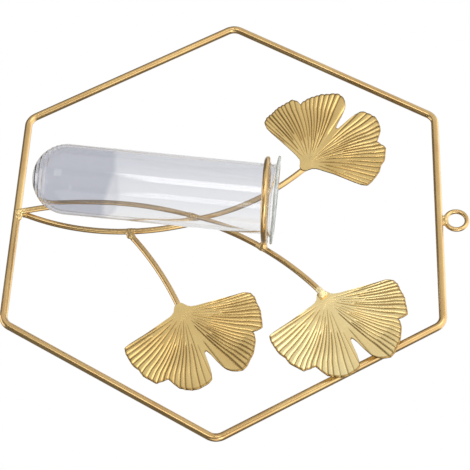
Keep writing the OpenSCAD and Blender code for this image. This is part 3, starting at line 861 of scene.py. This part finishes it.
loop_mid = at((LOOP_SHIFT, 0, HALF + 2.6), False)
bead("weld_loop", "loop_weld",
     [(at((LOOP_SHIFT + side * 1.3, 0, HALF + 2.3), False), 1.5) for side in (-1, 1)],
     [stub(top_line, SIDE_STUB_R, loop_mid, 6.0), loop_stub(loop_line, LOOP_WIRE_R, loop_mid, 4.5)], 3)

# Name, node, ball, the two wires that each bead joins, how far along them it reaches, and its seed
for name, nodename, ball_r, first_stub, second_stub, reach, seed in (
        ("weld_crossing", "crossing_weld", 1.9, (stub, left_wire), (stub, right_wire), 5.5, 4),
        ("weld_branch", "branch_weld", 1.9, (stub, left_wire), (stub, branch_line), 5.0, 5),
        ("weld_ring_left", "ring_left_weld", 1.5, (stub, left_wire), (loop_stub, ring_line), 4.5, 6),
        ("weld_ring_right", "ring_right_weld", 2.0, (stub, right_wire), (loop_stub, ring_line), 5.0, 8)):
    mid = middle_of(nodename)
    bead(name, nodename, [(mid, ball_r)],
         [make(line, STEM_R, mid, reach) for make, line in (first_stub, second_stub)], seed)

# Each leaf's bead spreads over the leaf's root in a row of small balls, set back where the leaf lies behind
for seed, name, nodename, line, set_back in (
        (10, "weld_leaf_upper_left", "upper_left_leaf_weld", left_wire, -0.2),
        (11, "weld_leaf_upper_right", "upper_right_leaf_weld", right_wire, 0.8),
        (12, "weld_leaf_lower_right", "lower_right_leaf_weld", branch_line, -0.2)):
    mid = middle_of(nodename)
    stem_dir = line[-1] - line[-6]
    stem_dir /= np.linalg.norm(stem_dir)
    aside = np.cross(stem_dir, (0, 1, 0)) * 1.1 * MM
    toe = mid + stem_dir * 1.6 * MM + np.array((0, set_back, 0)) * MM
    # These beads take the paler lit copy of the gold: painted highlight
    bead(name, nodename, [(mid, 1.5), (toe + aside, 1.2), (toe - aside, 1.2), (toe, 1.1)],
         [stub(line, STEM_R, mid, 4.5)], seed, 0.06, "gold_weld_pale")

# The floor, which glows a little so that it renders as pale as the white behind the object
FLOOR_Z = -1.6
FLOOR_HALF = 0.6
FLOOR_GREY = 0.86
FLOOR_GLOW = 0.6
floor = mesh_object("floor", [(x * FLOOR_HALF, y * FLOOR_HALF, FLOOR_Z)
                              for x, y in ((-1, -1), (1, -1), (1, 1), (-1, 1))], [(0, 1, 2, 3)])
floor_material, ft, floor_shader = new_material("floor")
floor_shader.inputs["Base Color"].default_value = (FLOOR_GREY, FLOOR_GREY, FLOOR_GREY, 1)
floor_shader.inputs["Roughness"].default_value = 0.9
rays = node(ft, "ShaderNodeLightPath")
seen = math_node(ft, "MAXIMUM", rays.outputs["Is Camera Ray"],
                 math_node(ft, "MAXIMUM", rays.outputs["Is Glossy Ray"], rays.outputs["Is Transmission Ray"]))
glow = node(ft, "ShaderNodeEmission", {"Strength": math_node(ft, "MULTIPLY", seen, FLOOR_GLOW)})
both = node(ft, "ShaderNodeAddShader", {0: floor_shader.outputs[0], 1: glow.outputs[0]})
ft.links.new(both.outputs[0], ft.nodes["Material Output"].inputs["Surface"])
floor.data.materials.append(floor_material)

# The camera is rolled a quarter turn, because the photo shows the object lying on its side
LENS, SENSOR = 118.69, 36
CAMERA_AT = Vector((0.4284, -0.6555, -0.05929))
CAMERA_X = Vector((-0.0348, 0.0563, 0.9978)).normalized()
CAMERA_Z = Vector((0.5382, -0.8402, 0.0662)).normalized()
CAMERA_Y = CAMERA_Z.cross(CAMERA_X).normalized()
CAMERA_Z = CAMERA_X.cross(CAMERA_Y).normalized()
camera = bpy.data.objects.new("camera", bpy.data.cameras.new("camera"))
bpy.context.scene.collection.objects.link(camera)
camera.matrix_world = Matrix(((CAMERA_X.x, CAMERA_Y.x, CAMERA_Z.x, CAMERA_AT.x),
                              (CAMERA_X.y, CAMERA_Y.y, CAMERA_Z.y, CAMERA_AT.y),
                              (CAMERA_X.z, CAMERA_Y.z, CAMERA_Z.z, CAMERA_AT.z),
                              (0, 0, 0, 1)))
camera.data.lens = LENS
camera.data.sensor_width = SENSOR
bpy.context.scene.camera = camera

# The room, in degrees right of and above the camera's axis: white behind the object and soft boxes before it
ROOM_LIGHT = 0.22
ROOM_COLOUR = (1, 0.985, 0.96, 1)
WHITE = (1, 1, 1, 1)
# How much of the white is missing in what is seen through glass
GLASS_VEIL = 0.08
# Each soft box: degrees right, degrees above, half its width, half its height, its soft edge, its strength
STRIP_BOX = (-2.2, 27, 3.6, 9, 1.6, 3.9)
SOFT_BOXES = [
    STRIP_BOX,
    (-27, 20, 9, 8, 5, 2.3),
    (30, 38, 15, 10, 9, 1.5),
    (-3, 0, 10, 10, 14, 0.5),
    (85, 0, 50, 24, 22, 1.35),
    (18, -27, 8, 9, 6, 3.6),
    (0, 66, 75, 20, 18, 0.62),
    (125, 60, 42, 22, 20, 0.6),
    (0, -62, 40, 20, 12, 1.2),
]
# The strip box and a little round it, where no white is seen through glass
STRIP_CLEAR = (-2.2, 27, 4, 9.4, 1.4, 1.0)
# Metal mirrors the white only behind the object, from 145 degrees off the camera's axis and fully from 168
MIRROR_START, MIRROR_FULL = 145, 168

world = bpy.data.worlds.new("studio")
bpy.context.scene.world = world
world.use_nodes = True
wt = world.node_tree
wt.nodes.clear()
way = node(wt, "ShaderNodeTexCoord").outputs["Generated"]


def toward(direction):
    return node(wt, "ShaderNodeVectorMath", {0: way, 1: tuple(direction)},
                operation="DOT_PRODUCT").outputs["Value"]


def degrees(radians):
    return math_node(wt, "MULTIPLY", radians, math.degrees(1))


ahead = toward(CAMERA_Z)
aside_angle = degrees(math_node(wt, "ARCTAN2", toward(CAMERA_X), ahead))
above_angle = degrees(math_node(wt, "ARCSINE", toward(CAMERA_Y)))


def band(angle, middle, half, soft):
    """1 inside middle - half to middle + half, and 0 from soft degrees further out."""
    off = math_node(wt, "ABSOLUTE", math_node(wt, "SUBTRACT", angle, middle))
    return map_range(wt, off, half, half + soft, 1.0, 0.0, "SMOOTHSTEP")


def soft_box(aside, above, half_wide, half_high, soft, strength):
    shape = math_node(wt, "MULTIPLY", band(aside_angle, aside, half_wide, soft),
                      band(above_angle, above, half_high, soft))
    return math_node(wt, "MULTIPLY", shape, strength)


lit = ROOM_LIGHT
for box in SOFT_BOXES:
    lit = math_node(wt, "ADD", lit, soft_box(*box))

rays = node(wt, "ShaderNodeLightPath")
# The tube's back wall mirrors the strip box, which is brighter than the white behind the object
off_strip = math_node(wt, "SUBTRACT", 1.0, soft_box(*STRIP_CLEAR), clamp=True)
through = math_node(wt, "MULTIPLY", rays.outputs["Is Transmission Ray"], off_strip)
behind = map_range(wt, ahead, math.cos(math.radians(MIRROR_START)), math.cos(math.radians(MIRROR_FULL)),
                   0.0, 1.0, "SMOOTHSTEP")
mirrored = math_node(wt, "MULTIPLY", rays.outputs["Is Glossy Ray"], behind)
seen = math_node(wt, "MAXIMUM", rays.outputs["Is Camera Ray"], math_node(wt, "MAXIMUM", through, mirrored))
veiled = math_node(wt, "SUBTRACT", 1.0, math_node(wt, "MULTIPLY", through, GLASS_VEIL))
room = node(wt, "ShaderNodeBackground", {"Color": ROOM_COLOUR, "Strength": lit})
white = node(wt, "ShaderNodeBackground", {"Color": WHITE, "Strength": veiled})
pick = node(wt, "ShaderNodeMixShader", {0: seen, 1: room.outputs[0], 2: white.outputs[0]})
node(wt, "ShaderNodeOutputWorld", {"Surface": pick.outputs[0]})

bpy.context.scene.view_settings.view_transform = "Standard"
